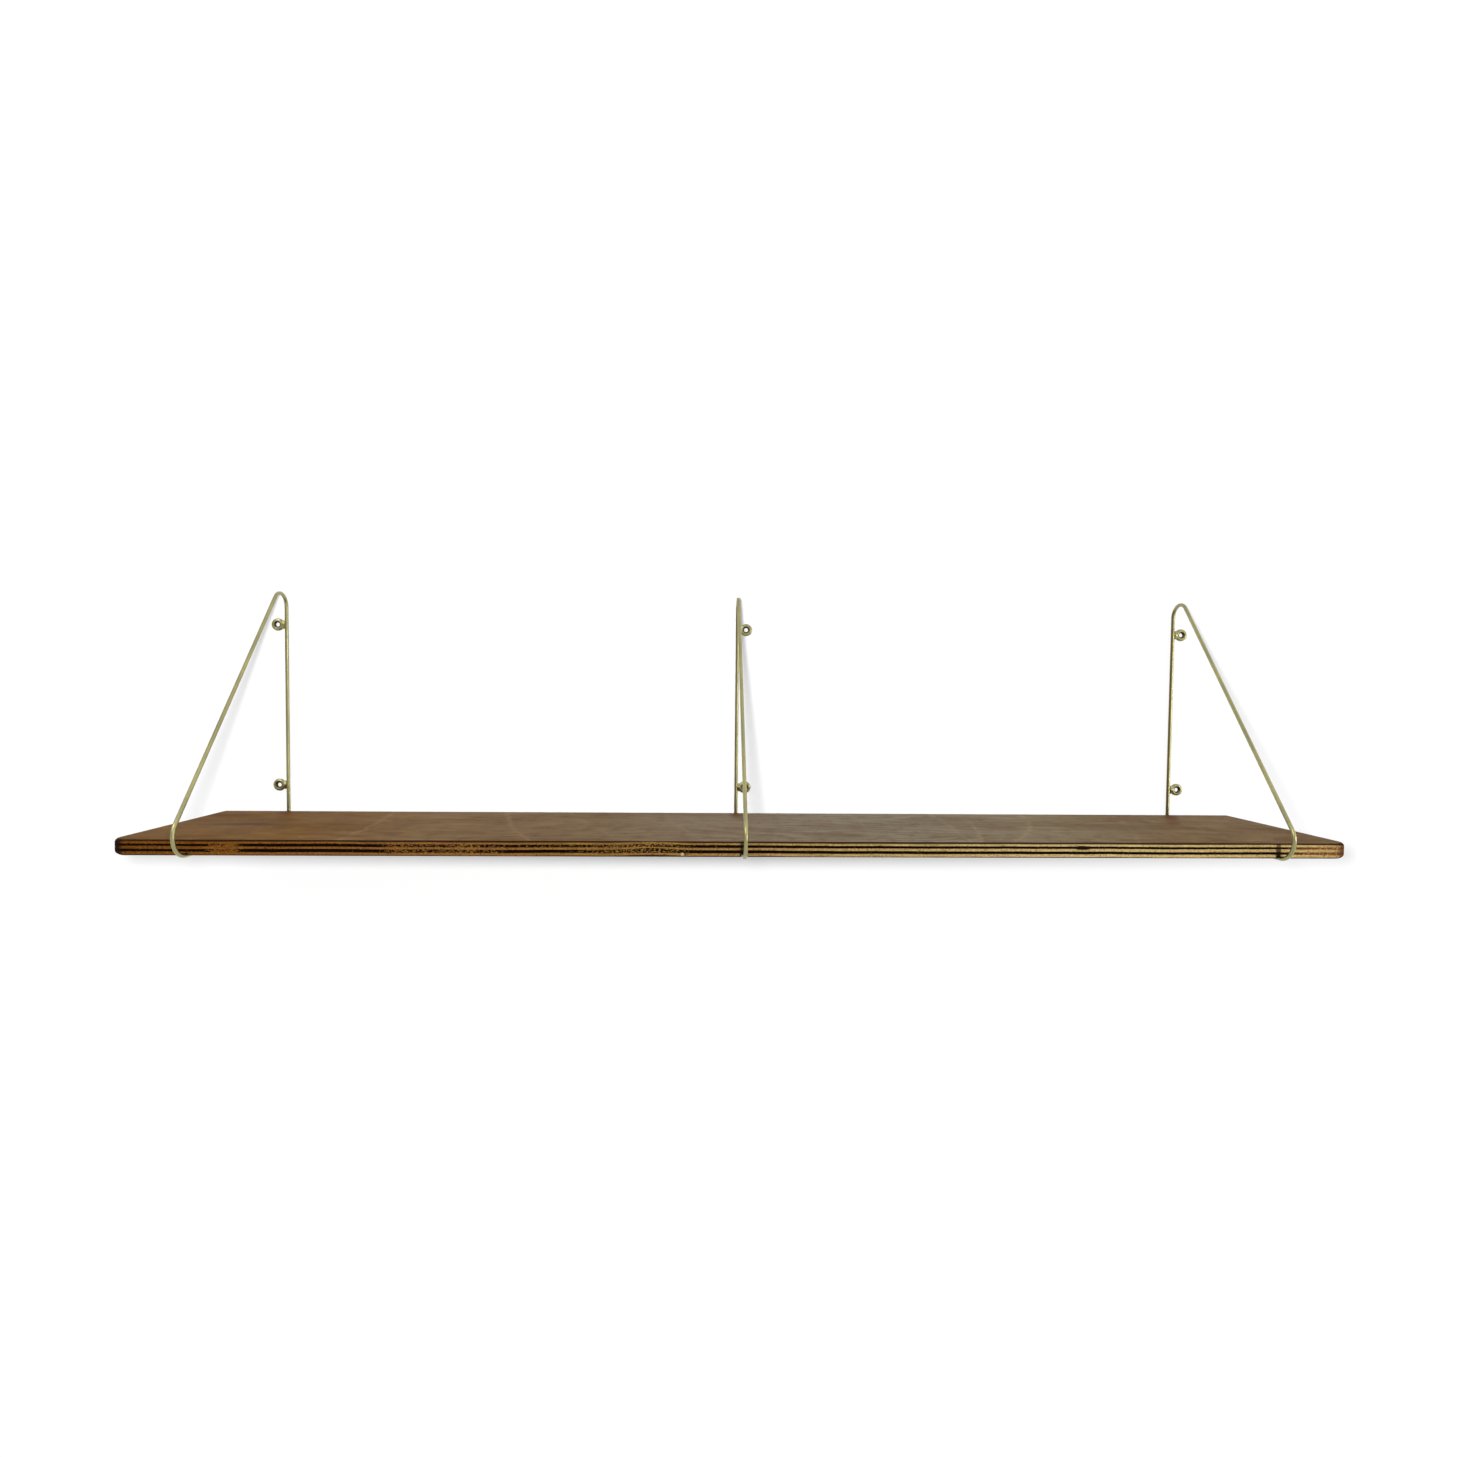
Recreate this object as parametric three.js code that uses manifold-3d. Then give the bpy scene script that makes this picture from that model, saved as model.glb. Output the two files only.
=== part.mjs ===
// Wall shelf: a plywood board lying in three closed brackets of bent brass rod.
//
// Frame, in millimetres: +X to the right, +Y into the wall, +Z up. The wall's surface is the plane
// y = 0, the middle bracket stands at x = 0, and the board's top face is at z = 0.
import * as THREE from 'three';
import { mergeVertices } from 'three/addons/utils/BufferGeometryUtils.js';
import Module from 'manifold-3d';

// Board
const BOARD_LENGTH = 1200;
const BOARD_DEPTH = 200;
const BOARD_TO_WALL = 10;
const FRONT_CORNER_RADIUS = 16;
const REAR_CORNER_RADIUS = 4;
const CORNER_STEPS = 8;

// Plies. Every thickness is a multiple of 1/8 mm, so that neighbouring faces meet exactly.
const FACE_VENEER = 1;
const LONG_PLY = 2.75;
const CROSS_PLY = 2.375;
const BOARD_THICKNESS = 2 * FACE_VENEER + 3 * LONG_PLY + 2 * CROSS_PLY;

// Grooves across the underside, in which the brackets' arms lie half sunk
const GROOVE_WIDTH = 6;
const ARM_SUNK = 2;
const ARM_CLEARANCE = 0.3;
const GROOVE_DEPTH = ARM_SUNK + ARM_CLEARANCE;

// Bracket rod: a closed loop in a plane square to the wall, sized along the rod's centreline
const BRACKET_PITCH = 528;
const ROD_RADIUS = 2;
const ROD_SIDES = 14;
const LEG_TO_WALL = 2.5;
const LOOP_DEPTH = 226.5;
const LOOP_HEIGHT = 268;
const TOP_BEND_RADIUS = 15;
const FRONT_BEND_RADIUS = 19.5;
const REAR_BEND_RADIUS = 7.5;
const BEND_STEP = THREE.MathUtils.degToRad(9);
const ARM_LEVEL = ARM_SUNK - ROD_RADIUS - BOARD_THICKNESS;

// Weld that closes the loop, in the leg just below the board's top face
const WELD_LEVEL = -4;
const WELD_GAP = 0.5;
const WELD_RADIUS = 2.35;
const WELD_HALF_LENGTH = 1.6;

// Eyelets: thick rings beside the leg, flat where they bear on the wall, each on a weld neck
const EYELET_LOW = 30;
const EYELET_PITCH = 188;
const EYELET_OFFSET = 10.2;
const RING_RADIUS = 4.8;
const RING_SECTION_RADIUS = 2.5;
const RING_SECTION_TO_WALL = 1.9;
const RING_SECTION_STEPS = 14;
const RING_SIDES = 28;
const NECK_TO_WALL = 0.8;
const NECK_THICKNESS = 3;
const NECK_AT_RING = { reach: 4.2, half: 4.6 };
const NECK_WAIST = { reach: 7.2, half: 3 };
const NECK_AT_ROD = { reach: 9.4, half: 5.6 };
const NECK_CLEARANCE = 0.3;
const CURVE_STEPS = 8;

const BRASS = { color: 0xb5a764, roughness: 0.34, metalness: 1 };
const STAINED_VENEER = { color: 0x7a6247, roughness: 0.6, metalness: 0 };
const LONG_GRAIN = { color: 0xa8804a, roughness: 0.75, metalness: 0 };
const CROSS_GRAIN = { color: 0x2b1a0e, roughness: 0.85, metalness: 0 };

const wasm = await Module();
wasm.setup();

const shelf = new THREE.Group();

function addNode(name, geometry, look, position = new THREE.Vector3()) {
  const mesh = new THREE.Mesh(geometry, new THREE.MeshStandardMaterial(look));
  mesh.name = name;
  mesh.position.copy(position);
  shelf.add(mesh);
}

function toSolid(geometry) {
  const bare = geometry.clone();
  bare.deleteAttribute('normal');
  bare.deleteAttribute('uv');
  const merged = mergeVertices(bare, 1e-4);
  return new wasm.Manifold(new wasm.Mesh({
    numProp: 3,
    vertProperties: new Float32Array(merged.attributes.position.array),
    triVerts: new Uint32Array(merged.index.array),
  }));
}

function toGeometry(solid) {
  const { vertProperties, triVerts } = solid.getMesh();
  const geometry = new THREE.BufferGeometry();
  geometry.setAttribute('position', new THREE.BufferAttribute(vertProperties, 3));
  geometry.setIndex(new THREE.BufferAttribute(triVerts, 1));
  geometry.computeVertexNormals();
  return geometry;
}

function box(low, high) {
  const size = new THREE.Vector3().subVectors(high, low);
  const centre = new THREE.Vector3().addVectors(low, high).multiplyScalar(0.5);
  return new THREE.BoxGeometry(...size).translate(...centre);
}

// --- Board -----------------------------------------------------------------------------------

const BOARD_RIGHT = BOARD_LENGTH / 2;
const BOARD_REAR = -BOARD_TO_WALL;
const BOARD_FRONT = BOARD_REAR - BOARD_DEPTH;
const BRACKETS = [
  { side: 'left', x: -BRACKET_PITCH, eyeletSide: -1 },
  { side: 'middle', x: 0, eyeletSide: 1 },
  { side: 'right', x: BRACKET_PITCH, eyeletSide: 1 },
];

function boardOutline() {
  const frontX = BOARD_RIGHT - FRONT_CORNER_RADIUS;
  const frontY = BOARD_FRONT + FRONT_CORNER_RADIUS;
  const rearX = BOARD_RIGHT - REAR_CORNER_RADIUS;
  const rearY = BOARD_REAR - REAR_CORNER_RADIUS;
  const quarter = Math.PI / 2;
  const outline = new THREE.Shape();
  outline.absarc(frontX, frontY, FRONT_CORNER_RADIUS, -quarter, 0);
  outline.absarc(rearX, rearY, REAR_CORNER_RADIUS, 0, quarter);
  outline.absarc(-rearX, rearY, REAR_CORNER_RADIUS, quarter, 2 * quarter);
  outline.absarc(-frontX, frontY, FRONT_CORNER_RADIUS, 2 * quarter, 3 * quarter);
  outline.closePath();
  return outline;
}

function plySheet(top, thickness) {
  const flat = { depth: thickness, bevelEnabled: false, curveSegments: CORNER_STEPS };
  return new THREE.ExtrudeGeometry(boardOutline(), flat).translate(0, 0, top - thickness);
}

// A cutter for the groove over one bracket's arm, open below and past both edges of the board
function grooveCutter(x) {
  const spare = 5;
  const ceiling = GROOVE_DEPTH - BOARD_THICKNESS;
  const low = new THREE.Vector3(x - GROOVE_WIDTH / 2, BOARD_FRONT - spare, -BOARD_THICKNESS - spare);
  const high = new THREE.Vector3(x + GROOVE_WIDTH / 2, BOARD_REAR + spare, ceiling);
  return toSolid(box(low, high));
}

function cutGrooves(solid) {
  return BRACKETS.reduce((rest, { x }) => rest.subtract(grooveCutter(x)), solid);
}

function addBoard() {
  const layers = [
    { name: 'top_face_veneer', thickness: FACE_VENEER, look: STAINED_VENEER },
    { name: 'upper_long_ply', thickness: LONG_PLY, look: LONG_GRAIN },
    { name: 'upper_cross_ply', thickness: CROSS_PLY, look: CROSS_GRAIN },
    { name: 'middle_long_ply', thickness: LONG_PLY, look: LONG_GRAIN },
    { name: 'lower_cross_ply', thickness: CROSS_PLY, look: CROSS_GRAIN },
  ];
  let top = 0;
  for (const { name, thickness, look } of layers) {
    addNode(name, plySheet(top, thickness), look);
    top -= thickness;
  }
  addNode('lower_long_ply', toGeometry(cutGrooves(toSolid(plySheet(top, LONG_PLY)))), LONG_GRAIN);
  addBottomVeneer(top - LONG_PLY);
}

// The grooves are deeper than the bottom face veneer, so it lies in four strips between them.
function addBottomVeneer(top) {
  const sheet = toSolid(plySheet(top, FACE_VENEER));
  const halfGroove = GROOVE_WIDTH / 2;
  const grooveEdges = BRACKETS.flatMap(({ x }) => [x - halfGroove, x + halfGroove]);
  const edges = [-BOARD_RIGHT, ...grooveEdges, BOARD_RIGHT];
  const names = ['left_end', 'left', 'right', 'right_end'];
  names.forEach((place, i) => {
    const low = new THREE.Vector3(edges[2 * i], BOARD_FRONT, top - FACE_VENEER);
    const high = new THREE.Vector3(edges[2 * i + 1], BOARD_REAR, top);
    const strip = sheet.intersect(toSolid(box(low, high)));
    addNode(`bottom_face_veneer_${place}`, toGeometry(strip), STAINED_VENEER);
  });
}

// --- Bracket rods ----------------------------------------------------------------------------

// A rod's centreline as a list of stations: straight runs have one step, bends a step every 9 degrees.
// Equal steps of the curve's parameter are its stations, not equal lengths.
class RodCurve extends THREE.Curve {
  constructor(stations) {
    super();
    this.stations = stations;
  }

  getUtoTmapping(u) {
    return u;
  }

  getPoint(t, target = new THREE.Vector3()) {
    const place = THREE.MathUtils.clamp(t, 0, 1) * (this.stations.length - 1);
    const i = Math.min(Math.floor(place), this.stations.length - 2);
    return target.lerpVectors(this.stations[i], this.stations[i + 1], place - i);
  }
}

// Points of a bend in the bracket's plane. Angles turn from the outward direction (-Y) up to +Z.
function bend(outward, up, radius, from, to) {
  const steps = Math.ceil(Math.abs(to - from) / BEND_STEP);
  return Array.from({ length: steps + 1 }, (_, i) => {
    const angle = from + (to - from) * i / steps;
    return new THREE.Vector3(0, -(outward + radius * Math.cos(angle)), up + radius * Math.sin(angle));
  });
}

function loopStations() {
  const rodFront = LEG_TO_WALL + LOOP_DEPTH;
  const apex = ARM_LEVEL + LOOP_HEIGHT;
  const top = { out: LEG_TO_WALL + TOP_BEND_RADIUS, up: apex - TOP_BEND_RADIUS };
  const front = { out: rodFront - FRONT_BEND_RADIUS, up: ARM_LEVEL + FRONT_BEND_RADIUS };
  const rear = { out: LEG_TO_WALL + REAR_BEND_RADIUS, up: ARM_LEVEL + REAR_BEND_RADIUS };
  const run = front.out - top.out;
  const drop = top.up - front.up;
  // The direction square to the diagonal, which touches both bends on their outer side
  const lean = Math.acos((TOP_BEND_RADIUS - FRONT_BEND_RADIUS) / Math.hypot(run, drop));
  const square = lean - Math.atan2(drop, run);
  return [
    new THREE.Vector3(0, -LEG_TO_WALL, WELD_LEVEL + WELD_GAP / 2),
    ...bend(top.out, top.up, TOP_BEND_RADIUS, Math.PI, square),
    ...bend(front.out, front.up, FRONT_BEND_RADIUS, square, -Math.PI / 2),
    ...bend(rear.out, rear.up, REAR_BEND_RADIUS, -Math.PI / 2, -Math.PI),
    new THREE.Vector3(0, -LEG_TO_WALL, WELD_LEVEL - WELD_GAP / 2),
  ];
}

function weldBead() {
  return new THREE.SphereGeometry(WELD_RADIUS, ROD_SIDES, CURVE_STEPS)
    .rotateX(Math.PI / 2)
    .scale(1, 1, WELD_HALF_LENGTH / WELD_RADIUS)
    .translate(0, -LEG_TO_WALL, WELD_LEVEL);
}

function bracketRod() {
  const stations = loopStations();
  const section = new THREE.Shape().absarc(0, 0, ROD_RADIUS, 0, 2 * Math.PI);
  const rod = new THREE.ExtrudeGeometry(section, {
    steps: stations.length - 1,
    curveSegments: ROD_SIDES,
    extrudePath: new RodCurve(stations),
  });
  return toGeometry(toSolid(rod).add(toSolid(weldBead())));
}

// --- Eyelets ---------------------------------------------------------------------------------

// The ring's section is a circle with its back cut off flat by the wall plane.
function ring() {
  const flatEdge = Math.asin(RING_SECTION_TO_WALL / RING_SECTION_RADIUS);
  const sweep = Math.PI + 2 * flatEdge;
  const section = Array.from({ length: RING_SECTION_STEPS + 1 }, (_, i) => {
    const angle = Math.PI - flatEdge + sweep * i / RING_SECTION_STEPS;
    return new THREE.Vector2(
      RING_RADIUS + RING_SECTION_RADIUS * Math.cos(angle),
      Math.min(0, RING_SECTION_RADIUS * Math.sin(angle) - RING_SECTION_TO_WALL),
    );
  });
  return new THREE.LatheGeometry([...section, section[0].clone()], RING_SIDES);
}

// The weld neck reaches from inside the ring's metal to the rod, narrower in its middle.
function neck() {
  const outline = new THREE.Shape();
  outline.moveTo(NECK_AT_RING.reach, -NECK_AT_RING.half);
  outline.quadraticCurveTo(NECK_WAIST.reach, -NECK_WAIST.half, NECK_AT_ROD.reach, -NECK_AT_ROD.half);
  outline.lineTo(NECK_AT_ROD.reach, NECK_AT_ROD.half);
  outline.quadraticCurveTo(NECK_WAIST.reach, NECK_WAIST.half, NECK_AT_RING.reach, NECK_AT_RING.half);
  outline.closePath();
  const slab = { depth: NECK_THICKNESS, bevelEnabled: false, curveSegments: CURVE_STEPS };
  return new THREE.ExtrudeGeometry(outline, slab).rotateX(Math.PI / 2).translate(0, -NECK_TO_WALL, 0);
}

// Keeps the neck clear of the rod beside it
function rodCutter() {
  const radius = ROD_RADIUS + NECK_CLEARANCE;
  const length = 4 * NECK_AT_ROD.half;
  return new THREE.CylinderGeometry(radius, radius, length, 2 * ROD_SIDES)
    .rotateX(Math.PI / 2)
    .translate(EYELET_OFFSET, -LEG_TO_WALL, 0);
}

// An eyelet centred on its own hole, with the rod on its +X side
function eyelet() {
  return toSolid(ring()).add(toSolid(neck())).subtract(toSolid(rodCutter()));
}

function addBracket({ side, x, eyeletSide }) {
  addNode(`${side}_bracket_rod`, bracketRod(), BRASS, new THREE.Vector3(x, 0, 0));
  const solid = eyeletSide < 0 ? eyelet() : eyelet().rotate([0, 180, 0]);
  for (const [height, z] of [['lower', EYELET_LOW], ['upper', EYELET_LOW + EYELET_PITCH]]) {
    const place = new THREE.Vector3(x + eyeletSide * EYELET_OFFSET, 0, z);
    addNode(`${side}_${height}_eyelet`, toGeometry(solid), BRASS, place);
  }
}

addBoard();
BRACKETS.forEach(addBracket);

export default shelf;
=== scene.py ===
# The looks of the wall shelf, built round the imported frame. Metres; +X right, +Y into the wall, +Z up.
import math

import bmesh
import bpy
from mathutils import Matrix, Vector, noise


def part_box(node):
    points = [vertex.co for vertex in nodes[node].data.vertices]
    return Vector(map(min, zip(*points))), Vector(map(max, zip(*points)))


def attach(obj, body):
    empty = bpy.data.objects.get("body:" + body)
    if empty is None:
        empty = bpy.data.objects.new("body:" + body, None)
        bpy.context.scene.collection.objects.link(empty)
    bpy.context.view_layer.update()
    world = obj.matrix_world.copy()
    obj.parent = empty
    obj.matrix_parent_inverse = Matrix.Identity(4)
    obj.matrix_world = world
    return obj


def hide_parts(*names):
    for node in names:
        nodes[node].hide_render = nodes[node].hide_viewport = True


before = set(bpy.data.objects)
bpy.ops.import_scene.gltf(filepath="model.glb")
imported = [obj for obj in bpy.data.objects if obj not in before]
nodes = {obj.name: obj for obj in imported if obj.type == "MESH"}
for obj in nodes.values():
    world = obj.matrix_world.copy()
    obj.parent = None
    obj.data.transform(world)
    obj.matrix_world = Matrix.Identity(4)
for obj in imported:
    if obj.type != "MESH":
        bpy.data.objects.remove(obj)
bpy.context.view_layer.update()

scene = bpy.context.scene
MM = 0.001


# --- Mesh helpers ------------------------------------------------------------------------------


def new_object(name, mesh, material=None):
    piece = bpy.data.objects.new(name, mesh)
    scene.collection.objects.link(piece)
    if material:
        mesh.materials.append(material)
    return piece


def smooth_by_angle(mesh):
    mesh.shade_smooth()
    mesh.set_sharp_from_angle(angle=math.radians(35))


def apply_modifiers(piece):
    evaluated = piece.evaluated_get(bpy.context.evaluated_depsgraph_get())
    made = bpy.data.meshes.new_from_object(evaluated)
    piece.modifiers.clear()
    piece.data = made
    return made


# --- Node helpers ------------------------------------------------------------------------------


class Shader:
    """The nodes of a material or world, written as expressions: a call adds a node and returns its output."""

    def __init__(self, owner, output="ShaderNodeOutputMaterial"):
        owner.use_nodes = True
        self.owner = owner
        self.tree = owner.node_tree
        self.tree.nodes.clear()
        self.output = self.tree.nodes.new(output)

    def node(self, kind, sockets=None, **settings):
        made = self.tree.nodes.new(kind)
        for key, value in settings.items():
            setattr(made, key, value)
        for key, value in (sockets or {}).items():
            self.feed(made.inputs[key], value)
        return made

    def feed(self, socket, value):
        if isinstance(value, bpy.types.NodeSocket):
            self.tree.links.new(value, socket)
        else:
            socket.default_value = value

    def math(self, operation, *values):
        made = self.node("ShaderNodeMath", operation=operation)
        for socket, value in zip(made.inputs, values):
            self.feed(socket, value)
        return made.outputs[0]

    def add(self, a, b):
        return self.math("ADD", a, b)

    def subtract(self, a, b):
        return self.math("SUBTRACT", a, b)

    def mul(self, a, b):
        return self.math("MULTIPLY", a, b)

    def absolute(self, value):
        return self.math("ABSOLUTE", value)

    def strongest(self, *values):
        most = values[0]
        for value in values[1:]:
            most = self.math("MAXIMUM", most, value)
        return most

    def coordinates(self, kind):
        return self.node("ShaderNodeTexCoord").outputs[kind]

    def split(self, vector):
        made = self.node("ShaderNodeSeparateXYZ", {0: vector})
        return made.outputs[0], made.outputs[1], made.outputs[2]

    def position(self):
        """The place in the object's own frame, in millimetres, as (vector, x, y, z)"""
        metres = self.coordinates("Object")
        made = self.node("ShaderNodeVectorMath", {0: metres, 1: (1000, 1000, 1000)}, operation="MULTIPLY")
        return (made.outputs[0], *self.split(made.outputs[0]))

    def noise(self, vector, scale, offset=(0, 0, 0), detail=3.0, roughness=0.5):
        """Noise at vector * scale + offset"""
        sockets = {0: vector, 1: scale, 2: offset}
        placed = self.node("ShaderNodeVectorMath", sockets, operation="MULTIPLY_ADD")
        made = self.node(
            "ShaderNodeTexNoise",
            {"Vector": placed.outputs[0], "Scale": 1.0, "Detail": detail, "Roughness": roughness},
        )
        return made.outputs["Fac"]

    def ramp(self, value, low, high, start=0.0, end=1.0):
        """value mapped smoothly from low..high to start..end"""
        made = self.node(
            "ShaderNodeMapRange",
            {"Value": value, "From Min": low, "From Max": high, "To Min": start, "To Max": end},
            interpolation_type="SMOOTHSTEP",
        )
        return made.outputs[0]

    def mix(self, share, a, b):
        made = self.node("ShaderNodeMix", data_type="RGBA")
        self.feed(made.inputs[0], share)
        self.feed(made.inputs[6], a)
        self.feed(made.inputs[7], b)
        return made.outputs[2]

    def bump(self, height, distance):
        made = self.node("ShaderNodeBump", {"Height": height, "Distance": distance, "Strength": 0.5})
        return made.outputs[0]

    def finish(self, surface):
        self.feed(self.output.inputs["Surface"], surface.outputs[0])
        return self.owner

    def surface(self, **sockets):
        named = {key.replace("_", " "): value for key, value in sockets.items()}
        return self.finish(self.node("ShaderNodeBsdfPrincipled", named))


def rgb(red, green, blue):
    """A linear colour from sRGB values of 0 to 255"""
    linear = [((v / 255 + 0.055) / 1.055) ** 2.4 if v > 10 else v / 255 / 12.92 for v in (red, green, blue)]
    return (*linear, 1)


# --- Wood --------------------------------------------------------------------------------------

BOARD_LOW, BOARD_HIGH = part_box("top_face_veneer")
BOARD_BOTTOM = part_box("bottom_face_veneer_left")[0].z
SIDES = ("left", "middle", "right")
BRACKET_X = [sum(corner.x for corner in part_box(f"{side}_bracket_rod")) / 2 for side in SIDES]

# In the materials below, places and lengths are in millimetres.
HALF_LENGTH = 600.0

# Along the board: the stain's colour, with a painted sheen that makes it greyer from about x 50 to 330, the
# colour of the long-grained plies, how solid the dark cross plies are, and half the thickness of the dark
# bands in centimetres
STAIN_AND_SHEEN = [
    (-600, rgb(110, 74, 8)), (-430, rgb(110, 76, 18)), (-340, rgb(121, 96, 59)), (-140, rgb(115, 95, 65)),
    (50, rgb(129, 118, 98)), (180, rgb(126, 116, 96)), (330, rgb(128, 115, 88)), (420, rgb(117, 97, 65)),
    (600, rgb(119, 95, 61)),
]
LONG_GRAIN = [
    (-600, rgb(84, 48, 12)), (-580, rgb(112, 68, 18)), (-500, rgb(122, 77, 26)), (-300, rgb(140, 97, 48)),
    (-60, rgb(150, 114, 58)), (60, rgb(170, 141, 84)), (330, rgb(200, 176, 118)), (560, rgb(200, 172, 112)),
    (600, rgb(150, 112, 68)),
]
SOLID_DARK = [
    (-600, 0.95), (-560, 0.8), (-535, 0.95), (-512, 0.9), (-502, 0.42), (-481, 0.4), (-472, 1.0), (-425, 1.0),
    (-350, 0.9), (-335, 0.52), (-300, 0.66), (-270, 0.55), (-225, 0.75), (-160, 0.68), (-115, 0.56),
    (-70, 0.62), (-40, 0.95), (60, 1.0), (400, 1.0), (540, 0.9), (575, 0.7), (600, 0.6),
]
BAND_HALF = [
    (-600, 0.11), (-545, 0.10), (-450, 0.145), (-250, 0.14), (-20, 0.135), (60, 0.125), (600, 0.105),
]
GLOSS = 0.013


def bell(s, value, centre, width):
    """1 where value is centre, falling smoothly to 0 at width on either side"""
    return s.ramp(s.absolute(s.add(value, -centre)), 0.0, width, 1.0, 0.0)


def along_board(s, x, stops):
    """A colour that changes along the board: stops are (x, colour)"""
    share = s.node("ShaderNodeMapRange", {"Value": x, "From Min": -HALF_LENGTH, "From Max": HALF_LENGTH})
    made = s.node("ShaderNodeValToRGB", {"Fac": share.outputs[0]})
    elements = made.color_ramp.elements
    while len(elements) < len(stops):
        elements.new(0.5)
    for element, (place, colour) in zip(elements, stops):
        element.position = (place + HALF_LENGTH) / (2 * HALF_LENGTH)
        element.color = colour
    return made.outputs["Color"]


def grey_along_board(s, x, stops):
    """The same for a number of 0 to 1"""
    return along_board(s, x, [(place, (value, value, value, 1)) for place, value in stops])


# Pale figure lines that cross the top: x at the rear edge, lean and bow towards the front, and strength
CROSSING_LINES = [
    (-402, 30, -13, 0.8), (-270, 30, 30, 0.8), (-200, 60, 20, 0.4), (-86, 20, 26, 0.3), (133, 12, -18, 0.35),
    (232, 0, -12, 0.5), (262, 10, -40, 0.8), (341, -10, -62, 0.8), (452, -22, -40, 0.35),
]
# Dark streaks in the stain: centre and half length along x, centre and half width along y, and strength
STREAKS = [(-522, 75, -106, 19, 0.85), (440, 110, -112, 28, 0.35)]
# Painted reflections of the legs on the top, as dark streaks in front of each leg: sideways lean and length
LEG_REFLECTIONS = [(-0.42, 70), (0.0, 75), (0.5, 120)]


def crossing_lines(s, vector, x, y):
    share = s.mul(y, -1 / 200)
    squared = s.mul(share, share)
    waver = s.mul(s.add(s.noise(vector, (0.02, 0.06, 0), (0, 8, 0)), -0.5), 14)
    lines = []
    for start, lean, bow, strength in CROSSING_LINES:
        line = s.add(s.mul(share, lean), s.mul(squared, bow))
        away = s.absolute(s.add(s.subtract(s.add(x, waver), line), -start))
        lines.append(s.mul(s.ramp(away, 0.5, 4.5, 1, 0), strength))
    fading = s.ramp(s.noise(vector, (0.02, 0.03, 0), (4, 2, 0)), 0.35, 0.6, 0.4, 1.0)
    return s.mul(s.strongest(*lines), fading)


def streaks(s, x, y, mottle):
    frayed = s.add(y, s.mul(mottle, 12))
    return s.strongest(*[
        s.mul(s.mul(bell(s, x, centre, half_x), bell(s, frayed, depth, half_y)), strength)
        for centre, half_x, depth, half_y, strength in STREAKS
    ])


# A painted reflection of each leg: a dark streak running forward from its foot, leaning sideways
def painted_leg_reflections(s, x, y):
    reflections = []
    for centre, (lean, length) in zip(BRACKET_X, LEG_REFLECTIONS):
        across = s.absolute(s.add(s.add(x, -centre / MM), s.mul(s.add(y, 10), -lean)))
        reflections.append(s.mul(s.ramp(across, 1.5, 12.0, 1, 0), s.ramp(y, -10 - length, -10)))
    return s.strongest(*reflections)


def face_figure(s, vector, x, y, z):
    """
    Colour, roughness and height of the stained face veneers. The top has marks and painted leg reflections
    that the underside lacks.
    """
    top_side = s.ramp(z, -9, -6)

    # Clouds in the stain, growth rings and fibres along the board
    cloud = s.noise(vector, (0.006, 0.016, 0.2), (2, 9, 0))
    # The stain's colour carries a painted sheen, greyer from about x 50 to 330
    colour = s.mix(s.ramp(cloud, 0.4, 0.7, 0.0, 0.30), along_board(s, x, STAIN_AND_SHEEN), rgb(84, 56, 34))
    drift = s.noise(vector, (0.0035, 0.012, 0.2), (5, 1, 0), detail=2)
    ring = s.math("FRACT", s.add(s.mul(y, 0.055), s.add(s.mul(drift, 9.0), s.mul(cloud, 0.6))))
    late_wood = s.mul(s.ramp(ring, 0.1, 0.86), s.ramp(ring, 0.88, 1.0, 1, 0))
    colour = s.mix(s.mul(late_wood, 0.34), colour, rgb(78, 48, 26))
    fibre = s.noise(vector, (0.022, 0.9, 0.2), (5, 1, 0), detail=5, roughness=0.7)
    colour = s.mix(s.ramp(fibre, 0.42, 0.72, 0.0, 0.55), colour, rgb(66, 41, 24))
    colour = s.mix(s.ramp(fibre, 0.46, 0.26, 0.0, 0.35), colour, rgb(158, 128, 88))

    # Blotches near both ends, pale figure lines, mottling and streaks
    blotch = s.noise(vector, (0.016, 0.03, 0.2), (7, 3, 0), detail=4, roughness=0.6)
    ends = s.ramp(s.absolute(s.add(x, -40)), 260, 440)
    colour = s.mix(s.mul(s.ramp(blotch, 0.48, 0.66, 0.0, 0.45), ends), colour, rgb(82, 50, 14))
    colour = s.mix(s.mul(s.ramp(blotch, 0.48, 0.28, 0.0, 0.18), ends), colour, rgb(156, 122, 64))
    lines = s.mul(crossing_lines(s, vector, x, y), top_side)
    colour = s.mix(s.mul(lines, 0.18), colour, rgb(176, 152, 112))
    mottle = s.noise(vector, (0.06, 0.05, 0), (1, 6, 0), detail=5, roughness=0.75)
    colour = s.mix(s.ramp(mottle, 0.48, 0.68, 0.0, 0.4), colour, rgb(70, 43, 25))
    colour = s.mix(s.ramp(mottle, 0.46, 0.28, 0.0, 0.16), colour, rgb(150, 122, 84))
    colour = s.mix(s.mul(streaks(s, x, y, mottle), top_side), colour, rgb(58, 34, 1))

    # Pores, specks and the painted reflections of the legs
    pores = s.noise(vector, (0.14, 2.2, 0), (0, 4, 0), roughness=0.75)
    pore = s.ramp(pores, 0.60, 0.68)
    colour = s.mix(s.mul(pore, 0.6), colour, rgb(34, 20, 12))
    specks = s.noise(vector, (0.4, 0.7, 0), (11, 6, 0), roughness=0.7)
    colour = s.mix(s.ramp(specks, 0.62, 0.72, 0, 0.45), colour, rgb(44, 27, 17))
    reflections = s.mul(painted_leg_reflections(s, x, y), top_side)
    colour = s.mix(s.mul(reflections, 0.85), colour, rgb(84, 42, 2))

    height = s.subtract(s.mul(fibre, 0.5), pore)
    return colour, s.ramp(cloud, 0.3, 0.8, 0.5, 0.62), height


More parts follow.
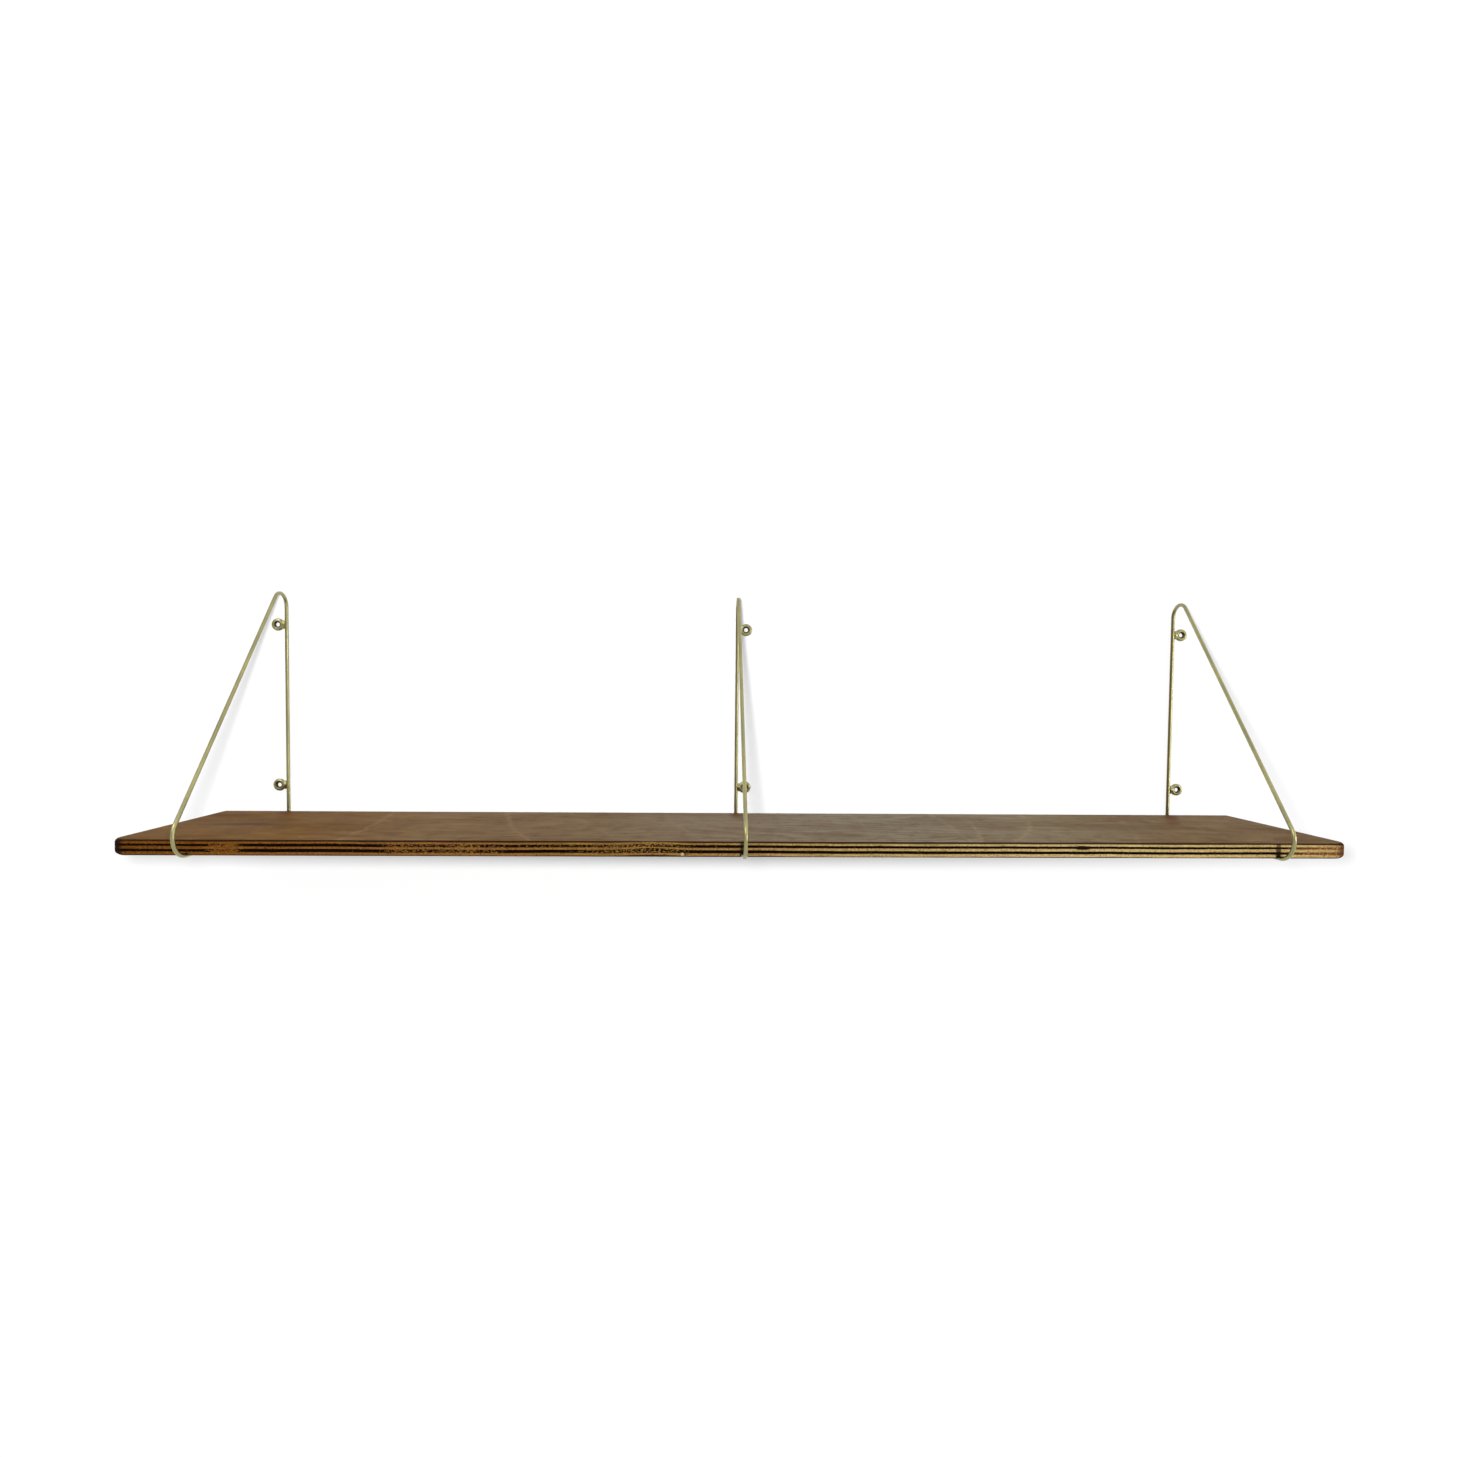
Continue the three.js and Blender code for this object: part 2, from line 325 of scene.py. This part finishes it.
# The dark bands of the edge: height of the middle, extra half thickness, and what a swelling in the wood
# adds to it
BANDS = [(-4.95, 0.0, 0.0), (-10.05, 0.15, 0.9)]
# Centre and half length along x of that swelling, and of a stretch where the upper band is more solid
SWELLING = (-92.0, 42.0)
SOLID_STRETCH = (-196, 44)

# Marks on the edge. The painted shadow lines of the hooks stand beside a bracket: how far to its left, and
# half width.
# The others: centre and half width along x, and centre and half height.
HOOK_SHADOW = (2.2, 4.0)
KNOT = (330.5, 13.0, -5.1, 2.9)
PINHOLE = (179.8, 2.2, -4.9, 1.6)
CHIP = (-60.0, 2.4, -12.5, 2.4)


def ply_bands(s, vector, x, z):
    """
    For a place on the edge: how far it lies in a dark cross ply, its height among the plies, which wander,
    and how solid the dark is there.
    """
    wander = s.noise(vector, (0.012, 0.012, 0))
    ripple = s.noise(vector, (0.05, 0.05, 0), (3, 3, 0), detail=2)
    level = s.add(z, s.add(s.mul(s.add(wander, -0.5), 1.0), s.mul(s.add(ripple, -0.5), 0.5)))
    swelling = bell(s, x, *SWELLING)
    level = s.add(level, s.mul(swelling, -1.1))
    fringe = s.noise(vector, (0.9, 0.1, 1.2), (0, 5, 2), detail=2, roughness=0.6)
    half = s.add(s.mul(grey_along_board(s, x, BAND_HALF), 10), s.mul(s.add(fringe, -0.5), 0.9))
    bands = []
    for middle, extra, swell in BANDS:
        reach = s.add(s.add(half, extra), s.mul(swelling, swell))
        away = s.absolute(s.add(level, -middle))
        bands.append(s.ramp(s.subtract(away, reach), -0.15, 0.25, 1, 0))
    solid = grey_along_board(s, x, SOLID_DARK)
    solid = s.add(solid, s.mul(s.mul(bell(s, x, *SOLID_STRETCH), s.ramp(z, -8, -7, 1, 0)), 0.5))
    return s.strongest(*bands), level, solid


def spot(s, x, up, place):
    """1 at the middle of a mark on the edge, falling to 0 round it"""
    centre, half_width, height, half_height = place
    return s.mul(bell(s, x, centre, half_width), bell(s, up, height, half_height))


def edge_marks_and_hook_shadows(s, colour, x, z, level, speck, normal_y):
    """Adds the painted shadow lines beside two of the hooks, a knot, a pinhole and a pale chip"""
    aside, half_width = HOOK_SHADOW
    for centre in BRACKET_X[1:]:
        # Painted shadow of the hook's wire on the front edge, darker towards the bottom
        line = s.ramp(bell(s, x, centre / MM - aside, half_width), 0.05, 0.6)
        front = s.mul(s.ramp(normal_y, -0.9, -0.4, 1, 0), s.ramp(z, -1, -14, 0.7, 1.0))
        colour = s.mix(s.mul(line, front), colour, rgb(24, 11, 7))
    knot = s.add(spot(s, x, level, KNOT), s.mul(s.add(speck, -0.5), 0.7))
    colour = s.mix(s.ramp(knot, 0.12, 0.4), colour, rgb(24, 15, 11))
    colour = s.mix(s.ramp(spot(s, x, level, PINHOLE), 0.1, 0.5), colour, rgb(8, 5, 3))
    return s.mix(s.ramp(spot(s, x, z, CHIP), 0.1, 0.6, 0, 0.7), colour, rgb(205, 180, 140))


def edge_figure(s, vector, x, z, normal_x, normal_y):
    """Colour and height of the board's edge, where each ply shows its long grain or its end grain"""
    cross, level, solid = ply_bands(s, vector, x, z)
    fibre = s.noise(vector, (0.035, 0.5, 2.6), (4, 0, 0), detail=4, roughness=0.65)
    fine = s.noise(vector, (0.55, 0.6, 0.45), (0, 0, 5), roughness=0.7)
    speck = s.noise(vector, (0.42, 0.09, 0.75), (1, 0, 2), detail=4, roughness=0.7)

    # Front and back: pale long grain, and dark end grain with the pale wood showing where it is broken
    rough_cut = s.ramp(x, -100, 60, 0.9, 0.72)
    long_grain = along_board(s, x, LONG_GRAIN)
    long_grain = s.mix(s.mul(s.ramp(fibre, 0.40, 0.72), rough_cut), long_grain, rgb(70, 42, 17))
    long_grain = s.mix(s.mul(s.ramp(fine, 0.5, 0.7), rough_cut), long_grain, rgb(34, 18, 8))
    sheen = s.mix(s.ramp(x, -150, 60), rgb(166, 116, 52), rgb(236, 214, 156))
    long_grain = s.mix(s.ramp(fine, 0.46, 0.28, 0.0, 0.5), long_grain, sheen)
    end_grain = s.mix(s.ramp(speck, 0.5, 0.7), rgb(10, 3, 1), rgb(50, 22, 10))
    end_grain = s.mix(s.ramp(x, 528, 556, 0, 0.75), end_grain, rgb(116, 70, 34))
    bright = s.ramp(s.subtract(speck, s.mul(solid, 0.38)), 0.275, 0.325)
    end_grain = s.mix(s.mul(bright, 0.92), end_grain, long_grain)
    side_on = s.mix(cross, long_grain, end_grain)

    # The two ends, darker on the left
    rightwards = s.ramp(x, -100, 100)
    end_wood = s.mix(rightwards, rgb(44, 25, 13), rgb(106, 70, 42))
    end_dark = s.mix(rightwards, rgb(14, 9, 6), rgb(76, 42, 24))
    end_on = s.mix(s.mul(cross, 0.7), end_wood, end_dark)
    end_on = s.mix(s.ramp(speck, 0.45, 0.65, 0, 0.5), end_on, end_dark)
    colour = s.mix(s.ramp(s.absolute(normal_x), 0.02, 0.4), side_on, end_on)

    # The two face veneers, seen from the side
    outer = s.strongest(s.ramp(level, -1.95, -1.55), s.ramp(level, -14.3, -13.9, 1, 0))
    veneer = s.mix(s.ramp(fine, 0.4, 0.6), rgb(28, 15, 8), rgb(62, 36, 18))
    colour = s.mix(s.mul(outer, 0.95), colour, veneer)

    colour = edge_marks_and_hook_shadows(s, colour, x, z, level, speck, normal_y)
    height = s.add(s.mul(cross, -0.5), s.add(s.mul(fibre, 0.5), s.mul(speck, s.mul(cross, 0.8))))
    return colour, height


def wood(name):
    """Stained veneer where a face looks up or down, ply edges elsewhere, and a worn dark line between them"""
    s = Shader(bpy.data.materials.new(name))
    vector, x, y, z = s.position()
    normal_x, normal_y, normal_z = s.split(s.coordinates("Normal"))
    upright = s.absolute(normal_z)
    face, face_roughness, grain = face_figure(s, vector, x, y, z)
    edge, relief = edge_figure(s, vector, x, z, normal_x, normal_y)
    flat = s.ramp(upright, 0.5, 0.95)
    colour = s.mix(flat, edge, face)
    worn = s.mul(s.ramp(upright, 0.1, 0.4), s.ramp(upright, 0.95, 0.995, 1, 0))
    colour = s.mix(s.mul(worn, 0.9), colour, rgb(32, 18, 9))
    roughness = s.strongest(face_roughness, s.ramp(flat, 0, 1, 0.75, 0.0))
    bumped = s.bump(s.mix(flat, relief, grain), 0.00012)
    return s.surface(Base_Color=colour, Roughness=roughness, Normal=bumped, Specular_IOR_Level=GLOSS)


# --- Board -------------------------------------------------------------------------------------

FRONT_RADIUS = 0.016
REAR_RADIUS = 0.004
TOP_EASE = 0.0008
BOTTOM_EASE = 0.0006
END_EASE = 0.003
GROOVE_WIDTH = 0.006
GROOVE_DEPTH = 0.0023


def outline():
    """The board's outline as (place, outward normal), anticlockwise from the front right corner"""
    corners = [
        (BOARD_HIGH.x, BOARD_LOW.y, FRONT_RADIUS, -90), (BOARD_HIGH.x, BOARD_HIGH.y, REAR_RADIUS, 0),
        (BOARD_LOW.x, BOARD_HIGH.y, REAR_RADIUS, 90), (BOARD_LOW.x, BOARD_LOW.y, FRONT_RADIUS, 180),
    ]
    points = []
    for corner_x, corner_y, radius, start in corners:
        centre_x = corner_x - math.copysign(radius, corner_x)
        centre_y = corner_y + (radius if corner_y == BOARD_LOW.y else -radius)
        steps = 20 if radius > 0.01 else 8
        for i in range(steps + 1):
            angle = math.radians(start + 90 * i / steps)
            normal = Vector((math.cos(angle), math.sin(angle)))
            points.append((Vector((centre_x, centre_y)) + radius * normal, normal))
    return points


def quarter_round(depth, radius):
    """How far a rim eased to that radius stands back, at that depth below the rim's face"""
    if depth >= radius:
        return 0.0
    return radius - math.sqrt(max(0.0, radius**2 - (radius - depth) ** 2))


def layer_mesh(name, top, bottom):
    """One ply. The board's rims are eased a little along the front and back and more round the ends."""
    steps = 12
    made = bmesh.new()
    loops = []
    for z in [bottom + (top - bottom) * i / steps for i in range(steps + 1)]:
        loop = []
        for place, normal in outline():
            ends = min(1.0, max(0.0, (abs(normal.x) - 0.05) / 0.6))
            inset = quarter_round(BOARD_HIGH.z - z, TOP_EASE + END_EASE * ends)
            inset = max(inset, quarter_round(z - BOARD_BOTTOM, BOTTOM_EASE + END_EASE * ends))
            loop.append(made.verts.new((*(place - normal * inset), z)))
        loops.append(loop)
    for lower, upper in zip(loops, loops[1:]):
        for i in range(len(lower)):
            j = (i + 1) % len(lower)
            made.faces.new((lower[i], lower[j], upper[j], upper[i]))
    made.faces.new(list(reversed(loops[0])))
    made.faces.new(loops[-1])
    mesh = bpy.data.meshes.new(name)
    made.to_mesh(mesh)
    made.free()
    return mesh


def cut_grooves(piece):
    """Cuts the underside's three grooves, in which the arms lie"""
    half, past = GROOVE_WIDTH / 2, 0.01
    for centre in BRACKET_X:
        made = bmesh.new()
        bmesh.ops.create_cube(made, size=1.0)
        low = Vector((centre - half, BOARD_LOW.y - past, BOARD_BOTTOM - past))
        high = Vector((centre + half, BOARD_HIGH.y + past, BOARD_BOTTOM + GROOVE_DEPTH))
        place = Matrix.Translation((low + high) / 2) @ Matrix.Diagonal((*(high - low), 1))
        bmesh.ops.transform(made, matrix=place, verts=made.verts)
        mesh = bpy.data.meshes.new("groove")
        made.to_mesh(mesh)
        made.free()
        cutter = new_object("groove", mesh)
        modifier = piece.modifiers.new("groove", "BOOLEAN")
        modifier.object = cutter
        modifier.operation = "DIFFERENCE"
        modifier.solver = "EXACT"
        bpy.context.view_layer.update()
        apply_modifiers(piece)
        bpy.data.objects.remove(cutter)


def build_board():
    material = wood("stained_plywood")
    layers = [
        ("top_veneer", ["top_face_veneer"], "stained_veneer"),
        ("first_long_ply", ["upper_long_ply"], "long_grain_ply"),
        ("first_cross_ply", ["upper_cross_ply"], "cross_grain_ply"),
        ("second_long_ply", ["middle_long_ply"], "long_grain_ply"),
        ("second_cross_ply", ["lower_cross_ply"], "cross_grain_ply"),
        ("third_long_ply", ["lower_long_ply"], "long_grain_ply"),
        ("bottom_veneer", [n for n in nodes if n.startswith("bottom_face_veneer")], "stained_veneer"),
    ]
    for name, replaced, slot in layers:
        low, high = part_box(replaced[0])
        piece = new_object(name, layer_mesh(name, high.z, low.z), material)
        if name in ("third_long_ply", "bottom_veneer"):
            cut_grooves(piece)
        smooth_by_angle(piece.data)
        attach(piece, "board")
        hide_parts(*replaced)


# --- Brass -------------------------------------------------------------------------------------


def brass_colour(s, vector, drawn, spots):
    """Brass with dull patches, dark lines where drawn is high, and brown spots"""
    dull = s.noise(vector, (0.022, 0.022, 0.022), detail=4, roughness=0.6)
    colour = s.mix(s.ramp(dull, 0.3, 0.7), rgb(178, 172, 120), rgb(154, 150, 110))
    colour = s.mix(s.ramp(drawn, 0.35, 0.7, 0, 0.35), colour, rgb(100, 88, 58))
    return s.mix(s.ramp(spots, 0.62, 0.74, 0, 0.55), colour, rgb(104, 78, 44))


def brass_surface(s, colour, drawn, spots):
    roughness = s.add(s.ramp(drawn, 0.2, 0.8, 0.24, 0.42), s.ramp(spots, 0.6, 0.8, 0, 0.2))
    bumped = s.bump(s.add(s.mul(drawn, 0.5), s.mul(spots, 0.5)), 0.00006)
    return s.surface(Base_Color=colour, Metallic=1.0, Roughness=roughness, Normal=bumped)


def brass_spots(s, vector):
    return s.noise(vector, (0.5, 0.5, 0.5), roughness=0.6)


def drawn_brass():
    """The rods' brass: lines along the wire, and a painted shade down the left side of the leg"""
    s = Shader(bpy.data.materials.new("drawn_brass"))
    vector, _, y, _ = s.position()
    drawn = s.noise(s.coordinates("UV"), (1.2, 26, 1), detail=4, roughness=0.6)
    spots = brass_spots(s, vector)
    normal_x = s.split(s.coordinates("Normal"))[0]
    # Painted shade on the leg's left side, the side turned away from the light
    left_side_shade = s.mul(s.ramp(normal_x, 0.05, -0.7, 0, 0.7), s.ramp(y, -8, -5))
    colour = s.mix(left_side_shade, brass_colour(s, vector, drawn, spots), rgb(82, 60, 32))
    return brass_surface(s, colour, drawn, spots)


def welded_brass():
    """The rings' brass: a painted shade inside the hole, and darker round the weld"""
    s = Shader(bpy.data.materials.new("welded_brass"))
    vector, x, _, z = s.position()
    drawn = s.noise(vector, (0.6, 0.6, 0.6), detail=4, roughness=0.6)
    spots = brass_spots(s, vector)
    radius = s.math("SQRT", s.add(s.mul(x, x), s.mul(z, z)))
    # Painted shade inside the ring's hole
    hole_shade = s.mul(s.ramp(radius, 3.3, 4.8, 1, 0), 0.85)
    weld = s.mul(s.ramp(s.absolute(x), 6.6, 8.2), s.ramp(drawn, 0.35, 0.6, 0.35, 0.9))
    colour = s.mix(hole_shade, brass_colour(s, vector, drawn, spots), rgb(46, 36, 22))
    colour = s.mix(weld, colour, rgb(112, 92, 58))
    return brass_surface(s, colour, drawn, spots)


# The rods' sizes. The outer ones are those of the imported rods.
ROD_RADIUS = 0.002
ROD_SIDES = 28
ROD_LOW, ROD_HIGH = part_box("left_bracket_rod")
FRONT_OUT = -ROD_LOW.y - ROD_RADIUS
ARM_Z = ROD_LOW.z + ROD_RADIUS
APEX_Z = ROD_HIGH.z - ROD_RADIUS
LEG_OUT = 0.0025
TOP_BEND = 0.015
FRONT_BEND = 0.0195
REAR_BEND = 0.0075
CLOSING_WELD_Z = -0.004
PATH_STEP = 0.004
BEND_STEP = math.radians(4)

# The closing weld: how far it reaches along the leg, how far it stands out, and how lumpy it is
WELD_REACH = 0.0035
WELD_RISE = 0.00035
WELD_ROUGHNESS = 0.00018


def straight(a, b):
    """Points between a and b, both left out"""
    count = max(1, round((b - a).length / PATH_STEP))
    return [a.lerp(b, i / count) for i in range(1, count)]


def loop_path():
    """The rod's centreline as points (out from the wall, up), once round the closed loop from the top bend"""
    top = Vector((LEG_OUT + TOP_BEND, APEX_Z - TOP_BEND))
    front = Vector((FRONT_OUT - FRONT_BEND, ARM_Z + FRONT_BEND))
    rear = Vector((LEG_OUT + REAR_BEND, ARM_Z + REAR_BEND))
    run, drop = front.x - top.x, top.y - front.y
    square = math.acos((TOP_BEND - FRONT_BEND) / math.hypot(run, drop)) - math.atan2(drop, run)
    corners = [
        (top, TOP_BEND, math.pi, square),
        (front, FRONT_BEND, square, -math.pi / 2),
        (rear, REAR_BEND, -math.pi / 2, -math.pi),
    ]
    points = []
    for centre, radius, start, end in corners:
        count = math.ceil(abs(end - start) / BEND_STEP)
        bend = []
        for i in range(count + 1):
            angle = start + (end - start) * i / count
            bend.append(centre + radius * Vector((math.cos(angle), math.sin(angle))))
        if points:
            points += straight(points[-1], bend[0])
        points += bend
    return points + straight(points[-1], points[0])


def rod_mesh(name):
    """A round rod along the loop, thicker and lumpy at its closing weld, with a UV map along the wire"""
    points = loop_path()
    count = len(points)
    made = bmesh.new()
    layer = made.loops.layers.uv.new("UVMap")
    rings, lengths, travelled = [], [], 0.0
    for i, point in enumerate(points):
        ahead = points[(i + 1) % count]
        along = (ahead - points[i - 1]).normalized()
        side = Vector((along.y, -along.x))
        on_leg = point.x < LEG_OUT + ROD_RADIUS
        near_weld = max(0.0, 1 - abs(point.y - CLOSING_WELD_Z) / WELD_REACH) if on_leg else 0.0
        ring = []
        for k in range(ROD_SIDES):
            angle = 2 * math.pi * k / ROD_SIDES
            bumpy = noise.noise(Vector((point.x, point.y, k / ROD_SIDES * 0.01)) * 900)
            lump = bumpy * WELD_ROUGHNESS * near_weld
            radius = ROD_RADIUS + WELD_RISE * math.sin(near_weld * math.pi / 2) + lump
            out = point + side * radius * math.cos(angle)
            ring.append(made.verts.new((radius * math.sin(angle), -out.x, out.y)))
        rings.append(ring)
        lengths.append(travelled)
        travelled += (ahead - point).length
    lengths.append(travelled)
    for i in range(count):
        after = rings[(i + 1) % count]
        for k in range(ROD_SIDES):
            m = (k + 1) % ROD_SIDES
            face = made.faces.new((rings[i][k], rings[i][m], after[m], after[k]))
            spans = (lengths[i], lengths[i], lengths[i + 1], lengths[i + 1])
            turns = (k, k + 1, k + 1, k)
            for corner, span, turn in zip(face.loops, spans, turns):
                corner[layer].uv = (span * 10, turn / ROD_SIDES)
    bmesh.ops.recalc_face_normals(made, faces=made.faces)
    mesh = bpy.data.meshes.new(name)
    made.to_mesh(mesh)
    made.free()
    mesh.shade_smooth()
    return mesh


RING_RADIUS = 0.0048
RING_SECTION = 0.0025
RING_OUT = 0.0019
RING_STEPS = 48
SECTION_STEPS = 20

# The fused eyelet: the remesh's cells, how near the wall it is made flat, and how uneven the rest is
FUSE_CELL = 0.00022
FLAT_BACK = 0.00025
UNEVEN = 0.00007

# How far from the wall the weld metal is centred
WELD_OUT = 0.0024
# Lumps of weld metal between a ring and its rod: x, z, radius and depth
WELD_LUMPS = [
    (0.0070, 0.0, 0.0030, 0.0032), (0.0083, 0.0019, 0.0022, 0.0024), (0.0083, -0.0019, 0.0022, 0.0024),
    (0.0092, 0.0036, 0.0015, 0.0020), (0.0092, -0.0036, 0.0015, 0.0020), (0.0096, 0.0050, 0.0010, 0.0016),
    (0.0096, -0.0050, 0.0010, 0.0016), (0.0064, 0.0030, 0.0018, 0.0020), (0.0064, -0.0030, 0.0018, 0.0020),
]


def add_ring(made):
    """A thick ring with a flat back on the wall"""
    rings = []
    for i in range(RING_STEPS):
        turn = 2 * math.pi * i / RING_STEPS
        ring = []
        for k in range(SECTION_STEPS):
            angle = 2 * math.pi * k / SECTION_STEPS
            reach = RING_RADIUS + RING_SECTION * math.cos(angle)
            depth = max(0.0, RING_OUT + RING_SECTION * math.sin(angle))
            ring.append(made.verts.new((reach * math.cos(turn), -depth, reach * math.sin(turn))))
        rings.append(ring)
    for i in range(RING_STEPS):
        after = rings[(i + 1) % RING_STEPS]
        for k in range(SECTION_STEPS):
            m = (k + 1) % SECTION_STEPS
            made.faces.new((rings[i][k], after[k], after[m], rings[i][m]))


def eyelet_mesh(name):
    """A ring welded to a rod on its +X side. The ring and the weld overlap and are fused by a fine remesh."""
    made = bmesh.new()
    add_ring(made)
    for x, z, radius, deep in WELD_LUMPS:
        stretch = Matrix.Diagonal((radius, deep * 0.8, radius * 1.15, 1))
        place = Matrix.Translation((x, -WELD_OUT, z)) @ stretch
        bmesh.ops.create_icosphere(made, subdivisions=3, radius=1.0, matrix=place)
    bmesh.ops.recalc_face_normals(made, faces=made.faces)
    mesh = bpy.data.meshes.new(name)
    made.to_mesh(mesh)
    made.free()
    piece = new_object(name, mesh)
    remesh = piece.modifiers.new("fuse", "REMESH")
    remesh.mode = "VOXEL"
    remesh.voxel_size = FUSE_CELL
    soften = piece.modifiers.new("soften", "SMOOTH")
    soften.iterations = 8
    soften.factor = 0.5
    bpy.context.view_layer.update()
    fused = apply_modifiers(piece)
    for vertex in fused.vertices:
        if vertex.co.y > -FLAT_BACK:
            vertex.co.y = 0.0
        else:
            vertex.co += vertex.normal * noise.noise(vertex.co * 700) * UNEVEN
    fused.name = name
    fused.shade_smooth()
    bpy.data.objects.remove(piece)
    return fused


def build_brackets():
    rod = rod_mesh("rod")
    rod.materials.append(drawn_brass())
    eyelet = eyelet_mesh("eyelet")
    eyelet.materials.append(welded_brass())
    ring_half = RING_RADIUS + RING_SECTION
    for side, centre in zip(SIDES, BRACKET_X):
        piece = new_object(f"{side}_rod", rod)
        piece.location.x = centre
        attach(piece, "brackets")
        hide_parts(f"{side}_bracket_rod")
        for height in ("upper", "lower"):
            node = f"{side}_{height}_eyelet"
            low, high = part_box(node)
            welded = new_object(f"{side}_{height}_ring", eyelet)
            if side == "left":
                place_x = low.x + ring_half
            else:
                place_x = high.x - ring_half
                welded.rotation_euler.y = math.pi
            welded.location = (place_x, 0, (low.z + high.z) / 2)
            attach(welded, "brackets")
            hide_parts(node)


# --- Wall, floor, light and camera -------------------------------------------------------------

CAMERA_PLACE = Vector((-0.0456, -1.0391, 0.1422))
CAMERA_YAW, CAMERA_PITCH, CAMERA_ROLL = 0.0347, -0.0402, -0.0094
CAMERA_LENS, SENSOR_WIDTH = 21.44, 36

# The lamp that throws the shelf's shadow on the wall, what it adds to the wall's brightness straight across
# from it, and what the wall's glow would be without it
SHADOW_LAMP = CAMERA_PLACE + Vector((-0.055, 0, 0.026))
SHADOW_DEPTH = 0.6
WALL_GLOW = 0.915
FLOOR_GLOW = 0.8

WALL_Y = 0.0003
WALL_HALF_WIDTH, WALL_TOP = 6.0, 4.0
FLOOR_Z, FLOOR_HALF_WIDTH = -1.35, 60.0


def plane_mesh(name, corners):
    mesh = bpy.data.meshes.new(name)
    mesh.from_pydata(corners, [], [(0, 1, 2, 3)])
    return mesh


def white_paint(s, glow):
    """White paint that glows, as paint lit by a whole studio does, and that is open from behind"""
    lit = s.node("ShaderNodeEmission", {"Color": (1, 1, 1, 1), "Strength": glow})
    paint = s.node("ShaderNodeBsdfDiffuse", {"Color": (0.1, 0.1, 0.1, 1)})
    both = s.node("ShaderNodeAddShader", {0: lit.outputs[0], 1: paint.outputs[0]})
    clear = s.node("ShaderNodeBsdfTransparent")
    behind = s.node("ShaderNodeNewGeometry").outputs["Backfacing"]
    return s.finish(s.node("ShaderNodeMixShader", {0: behind, 1: both.outputs[0], 2: clear.outputs[0]}))


def even_glow(s):
    """The wall's glow, weaker where the shadow lamp is stronger, so that both together are even"""
    reach = -SHADOW_LAMP.y
    x, _, z = s.split(s.coordinates("Object"))
    aside, up = s.add(x, -SHADOW_LAMP.x), s.add(z, -SHADOW_LAMP.z)
    squared = s.mul(s.add(s.mul(aside, aside), s.mul(up, up)), 1 / reach**2)
    falloff = s.math("POWER", s.add(squared, 1.0), -2.0)
    return s.add(s.mul(falloff, -SHADOW_DEPTH), WALL_GLOW)


def build_stage():
    wide, far = WALL_HALF_WIDTH, FLOOR_HALF_WIDTH
    paint = Shader(bpy.data.materials.new("wall_white"))
    wall = new_object("wall", plane_mesh("wall", [
        (-wide, WALL_Y, FLOOR_Z), (wide, WALL_Y, FLOOR_Z),
        (wide, WALL_Y, WALL_TOP), (-wide, WALL_Y, WALL_TOP),
    ]), white_paint(paint, even_glow(paint)))
    floor = new_object("floor", plane_mesh("floor", [
        (-far, -far, FLOOR_Z), (far, -far, FLOOR_Z), (far, far, FLOOR_Z), (-far, far, FLOOR_Z),
    ]), white_paint(Shader(bpy.data.materials.new("floor_white")), FLOOR_GLOW))
    return wall


def area_light(name, place, target, size, power):
    data = bpy.data.lights.new(name, "AREA")
    data.shape = "DISK"
    data.size = size
    data.energy = power
    lamp = bpy.data.objects.new(name, data)
    lamp.location = place
    lamp.rotation_euler = (Vector(target) - Vector(place)).to_track_quat("-Z", "Y").to_euler()
    scene.collection.objects.link(lamp)
    return lamp


def build_world():
    """Soft light from all round, stronger from the right and from above, seen as plain white"""
    scene.world = bpy.data.worlds.new("studio")
    s = Shader(scene.world, "ShaderNodeOutputWorld")
    x, _, z = s.split(s.coordinates("Generated"))
    light = s.add(s.ramp(x, -0.9, 0.8, 0.30, 1.15), s.ramp(z, -0.3, 0.9, 0.0, 0.2))
    lit = s.node("ShaderNodeBackground", {"Color": (1, 1, 1, 1), "Strength": light})
    white = s.node("ShaderNodeBackground", {"Color": (1, 1, 1, 1), "Strength": 1.0})
    seen = s.node("ShaderNodeLightPath").outputs["Is Camera Ray"]
    s.finish(s.node("ShaderNodeMixShader", {0: seen, 1: lit.outputs[0], 2: white.outputs[0]}))


def build_camera():
    data = bpy.data.cameras.new("camera")
    data.sensor_width = SENSOR_WIDTH
    data.lens = CAMERA_LENS
    camera = bpy.data.objects.new("camera", data)
    turned = Matrix.Rotation(-CAMERA_YAW, 4, "Z") @ Matrix.Rotation(math.pi / 2 + CAMERA_PITCH, 4, "X")
    camera.matrix_world = Matrix.Translation(CAMERA_PLACE) @ turned @ Matrix.Rotation(-CAMERA_ROLL, 4, "Z")
    scene.collection.objects.link(camera)
    scene.camera = camera


def build_lights(wall):
    """
    Two soft lamps for the shelf, up on the left and low on the right, and a small one by the camera
    for the shelf's shadow, which lights only the wall.
    """
    scene.view_settings.view_transform = "Standard"
    build_world()
    area_light("softbox", (-1.2, -1.6, 1.5), (0, -0.1, 0), 1.2, 20)
    area_light("side_softbox", (2.3, -1.3, 0.1), (0, -0.1, 0.1), 0.7, 14)
    shadow_lamp = area_light("shadow_lamp", SHADOW_LAMP, SHADOW_LAMP + Vector((0, 1, 0)), 0.086, 66)
    only_wall = bpy.data.collections.new("lit_by_shadow_lamp")
    only_wall.objects.link(wall)
    shadow_lamp.light_linking.receiver_collection = only_wall


build_board()
build_brackets()
wall = build_stage()
build_camera()
build_lights(wall)
